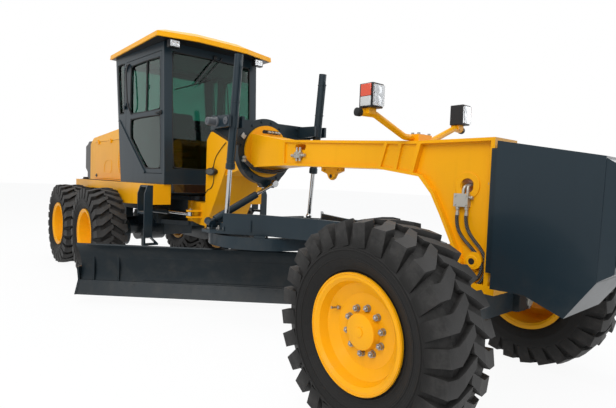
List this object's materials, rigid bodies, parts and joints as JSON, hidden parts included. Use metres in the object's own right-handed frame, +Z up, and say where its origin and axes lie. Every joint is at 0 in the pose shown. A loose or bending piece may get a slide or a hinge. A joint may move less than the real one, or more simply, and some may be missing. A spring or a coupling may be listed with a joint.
{
  "type": "motor grader",
  "caption": "Articulated road grader with tandem rear wheels, a glazed cab, an arched front beam, and a turning curved blade hung on a drawbar.",
  "frame": {"origin": "on the ground plane under the middle of the tandem, on the centre plane", "axes": "X forwards, Y to the driver's left, Z up"},
  "size_m": [9.3218, 3.2647, 3.4117],
  "materials": {
    "yellow_paint": "gloss paint with dust and light wear",
    "slate_paint": "satin dark slate paint, scuffed",
    "black_paint": "satin black paint",
    "engine_paint": "dull grey paint",
    "chrome_rod": "polished hard chrome",
    "tyre": "dusty dark grey rubber",
    "window_glass": "green tinted glass",
    "lamp_housing": "black housing",
    "seat_cover": "dark woven cover"
  },
  "bodies": {
    "rear_frame": {"rear_chassis": "slate_paint", "engine": "engine_paint", "hood": "yellow_paint", "rear_cooler": "black_paint", "exhaust": "black_paint", "cab_frame": "slate_paint", "cab_glass": "window_glass", "roof": "yellow_paint", "work_lamps": "lamp_housing", "seat": "seat_cover", "console": "black_paint", "side_platforms": "yellow_paint", "ladders": "slate_paint", "rear_axle": "slate_paint", "tandem_cases": "slate_paint"},
    "front_frame": {"gooseneck": "yellow_paint", "saddle": "slate_paint", "front_ballast": "slate_paint", "headlamps": "yellow_paint", "front_axle": "slate_paint"},
    "drawbar": {"drawbar": "slate_paint"},
    "circle": {"circle": "slate_paint"},
    "blade_carrier": {"blade_carrier": "slate_paint"},
    "moldboard": {"moldboard": "slate_paint"},
    "shift_tube": {"shift_tube": "slate_paint"},
    "shift_rod": {"shift_rod": "chrome_rod"},
    "tie_stud": {"tie_stud": "chrome_rod"},
    "tie_rod": {"tie_rod": "slate_paint"},
    "lean_bar": {"lean_bar": "slate_paint"},
    "ram_tube_left": {"ram_tube_left": "slate_paint"},
    "ram_rod_left": {"ram_rod_left": "chrome_rod"},
    "lift_tube_left": {"lift_tube_left": "slate_paint"},
    "lift_rod_left": {"lift_rod_left": "chrome_rod"},
    "lean_yoke_left": {"lean_yoke_left": "slate_paint"},
    "knuckle_left": {"knuckle_left": "slate_paint"},
    "cab_door_left": {"cab_door_left": "slate_paint", "door_glass_left": "window_glass"},
    "hood_door_left": {"hood_door_left": "yellow_paint"},
    "wheel_front_left": {"tyre_front_left": "tyre", "rim_front_left": "yellow_paint"},
    "wheel_middle_left": {"tyre_middle_left": "tyre", "rim_middle_left": "yellow_paint"},
    "wheel_rear_left": {"tyre_rear_left": "tyre", "rim_rear_left": "yellow_paint"},
    "ram_tube_right": {"ram_tube_right": "slate_paint"},
    "ram_rod_right": {"ram_rod_right": "chrome_rod"},
    "lift_tube_right": {"lift_tube_right": "slate_paint"},
    "lift_rod_right": {"lift_rod_right": "chrome_rod"},
    "lean_yoke_right": {"lean_yoke_right": "slate_paint"},
    "knuckle_right": {"knuckle_right": "slate_paint"},
    "cab_door_right": {"cab_door_right": "slate_paint", "door_glass_right": "window_glass"},
    "hood_door_right": {"hood_door_right": "yellow_paint"},
    "wheel_front_right": {"tyre_front_right": "tyre", "rim_front_right": "yellow_paint"},
    "wheel_middle_right": {"tyre_middle_right": "tyre", "rim_middle_right": "yellow_paint"},
    "wheel_rear_right": {"tyre_rear_right": "tyre", "rim_rear_right": "yellow_paint"}
  },
  "joints": [
    {"name": "articulation", "type": "hinge", "parent": "rear_frame", "child": "front_frame", "pos_m": [1.8, 0, 1.05], "axis": [0, 0, 1], "range_deg": [-26, 26]},
    {"name": "ram_swing_left", "type": "hinge", "parent": "rear_frame", "child": "ram_tube_left", "pos_m": [1.25, 0.575, 1.05], "axis": [0, 0, 1], "range_deg": [-11.5, 11.5]},
    {"name": "ram_stroke_left", "type": "slide", "parent": "ram_tube_left", "child": "ram_rod_left", "axis": [0.9876, -0.1571, 0], "range_m": [-0.22, 0.22]},
    {"name": "ram_swing_right", "type": "hinge", "parent": "rear_frame", "child": "ram_tube_right", "pos_m": [1.25, -0.575, 1.05], "axis": [0, 0, 1], "range_deg": [-11.5, 11.5]},
    {"name": "ram_stroke_right", "type": "slide", "parent": "ram_tube_right", "child": "ram_rod_right", "axis": [0.9876, 0.1571, 0], "range_m": [-0.22, 0.22]},
    {"name": "blade_lift", "type": "hinge", "parent": "front_frame", "child": "drawbar", "pos_m": [6, 0, 1.02], "axis": [0, 1, 0], "range_deg": [-14.3, 8.3]},
    {"name": "lift_swing_left", "type": "hinge", "parent": "front_frame", "child": "lift_tube_left", "pos_m": [3.667, 0.59, 2.13], "axis": [0, 1, 0], "range_deg": [-3.5, 2.5]},
    {"name": "lift_stroke_left", "type": "slide", "parent": "lift_tube_left", "child": "lift_rod_left", "axis": [0.0938, 0, 0.9956], "range_m": [-0.61, 0.36]},
    {"name": "lift_swing_right", "type": "hinge", "parent": "front_frame", "child": "lift_tube_right", "pos_m": [3.667, -0.59, 2.13], "axis": [0, 1, 0], "range_deg": [-3.5, 2.5]},
    {"name": "lift_stroke_right", "type": "slide", "parent": "lift_tube_right", "child": "lift_rod_right", "axis": [0.0938, 0, 0.9956], "range_m": [-0.61, 0.36]},
    {"name": "shift_swing", "type": "hinge", "parent": "drawbar", "child": "shift_tube", "pos_m": [3.45, -0.72, 1.05], "axis": [0.9713, 0, -0.238], "range_deg": [-17, 29]},
    {"name": "shift_stroke", "type": "slide", "parent": "shift_tube", "child": "shift_rod", "axis": [0.111, 0.8656, 0.4883], "range_m": [-0.2, 0.34]},
    {"name": "circle_turn", "type": "hinge", "parent": "drawbar", "child": "circle", "pos_m": [3.57, 0, 0.86], "axis": [0, 0, 1], "continuous": true},
    {"name": "blade_tilt", "type": "hinge", "parent": "circle", "child": "blade_carrier", "pos_m": [3.43437, 0.12582, 0.33], "axis": [0.6801, 0.7331, 0], "range_deg": [-5, 40]},
    {"name": "blade_shift", "type": "slide", "parent": "blade_carrier", "child": "moldboard", "axis": [0.6801, 0.7331, 0], "range_m": [-0.5, 0.65]},
    {"name": "wheel_lean_left", "type": "hinge", "parent": "front_frame", "child": "lean_yoke_left", "pos_m": [6.165, 0.66, 0.62], "axis": [1, 0, 0], "range_deg": [-17, 17]},
    {"name": "wheel_steer_left", "type": "hinge", "parent": "lean_yoke_left", "child": "knuckle_left", "pos_m": [6.14, 0.8, 0.665], "axis": [0, 0, 1], "range_deg": [-45, 45]},
    {"name": "wheel_lean_right", "type": "hinge", "parent": "front_frame", "child": "lean_yoke_right", "pos_m": [6.165, -0.66, 0.62], "axis": [1, 0, 0], "range_deg": [-17, 17]},
    {"name": "wheel_steer_right", "type": "hinge", "parent": "lean_yoke_right", "child": "knuckle_right", "pos_m": [6.14, -0.8, 0.665], "axis": [0, 0, 1], "range_deg": [-45, 45]},
    {"name": "tie_turn", "type": "hinge", "parent": "knuckle_left", "child": "tie_stud", "pos_m": [5.86, 0.8, 0.675], "axis": [0, 0, 1], "range_deg": [-45, 45]},
    {"name": "tie_roll", "type": "hinge", "parent": "tie_stud", "child": "tie_rod", "pos_m": [5.86, 0.8, 0.675], "axis": [1, 0, 0], "range_deg": [-15, 15]},
    {"name": "lean_bar_turn", "type": "hinge", "parent": "lean_yoke_left", "child": "lean_bar", "pos_m": [6.04, 0.66, 0.84], "axis": [1, 0, 0], "range_deg": [-17, 17]},
    {"name": "spin_front_left", "type": "hinge", "parent": "knuckle_left", "child": "wheel_front_left", "pos_m": [6.14, 1.078, 0.665], "axis": [0, 1, 0], "continuous": true},
    {"name": "spin_front_right", "type": "hinge", "parent": "knuckle_right", "child": "wheel_front_right", "pos_m": [6.14, -1.078, 0.665], "axis": [0, 1, 0], "continuous": true},
    {"name": "spin_middle_left", "type": "hinge", "parent": "rear_frame", "child": "wheel_middle_left", "pos_m": [0.769, 1.078, 0.665], "axis": [0, 1, 0], "continuous": true},
    {"name": "spin_middle_right", "type": "hinge", "parent": "rear_frame", "child": "wheel_middle_right", "pos_m": [0.769, -1.078, 0.665], "axis": [0, 1, 0], "continuous": true},
    {"name": "spin_rear_left", "type": "hinge", "parent": "rear_frame", "child": "wheel_rear_left", "pos_m": [-0.769, 1.078, 0.665], "axis": [0, 1, 0], "continuous": true},
    {"name": "spin_rear_right", "type": "hinge", "parent": "rear_frame", "child": "wheel_rear_right", "pos_m": [-0.769, -1.078, 0.665], "axis": [0, 1, 0], "continuous": true},
    {"name": "cab_door_swing_left", "type": "hinge", "parent": "rear_frame", "child": "cab_door_left", "pos_m": [1.006, 0.805, 2.35], "axis": [0, 0, 1], "range_deg": [0, 90]},
    {"name": "hood_door_lift_left", "type": "hinge", "parent": "rear_frame", "child": "hood_door_left", "pos_m": [-0.52, 0.512, 2.12], "axis": [1, 0, 0], "range_deg": [0, 80]},
    {"name": "cab_door_swing_right", "type": "hinge", "parent": "rear_frame", "child": "cab_door_right", "pos_m": [1.006, -0.805, 2.35], "axis": [0, 0, -1], "range_deg": [0, 90]},
    {"name": "hood_door_lift_right", "type": "hinge", "parent": "rear_frame", "child": "hood_door_right", "pos_m": [-0.52, -0.512, 2.12], "axis": [-1, 0, 0], "range_deg": [0, 80]}
  ],
  "couplings": [
    {"joint": "ram_swing_left", "follows": "articulation", "ratio": 0.427},
    {"joint": "ram_stroke_left", "follows": "articulation", "m_per_rad": -0.477},
    {"joint": "ram_swing_right", "follows": "articulation", "ratio": 0.427},
    {"joint": "ram_stroke_right", "follows": "articulation", "m_per_rad": 0.477},
    {"joint": "lift_swing_left", "follows": "blade_lift", "ratio": 0.2},
    {"joint": "lift_stroke_left", "follows": "blade_lift", "m_per_rad": 2.41},
    {"joint": "lift_swing_right", "follows": "blade_lift", "ratio": 0.2},
    {"joint": "lift_stroke_right", "follows": "blade_lift", "m_per_rad": 2.41},
    {"joint": "shift_swing", "follows": "blade_lift", "ratio": -2},
    {"joint": "shift_stroke", "follows": "blade_lift", "m_per_rad": -1.35},
    {"joint": "wheel_lean_right", "follows": "wheel_lean_left", "ratio": 1},
    {"joint": "wheel_steer_right", "follows": "wheel_steer_left", "ratio": 1},
    {"joint": "tie_turn", "follows": "wheel_steer_left", "ratio": -1},
    {"joint": "tie_roll", "follows": "wheel_lean_left", "ratio": -0.825},
    {"joint": "lean_bar_turn", "follows": "wheel_lean_left", "ratio": -1}
  ]
}
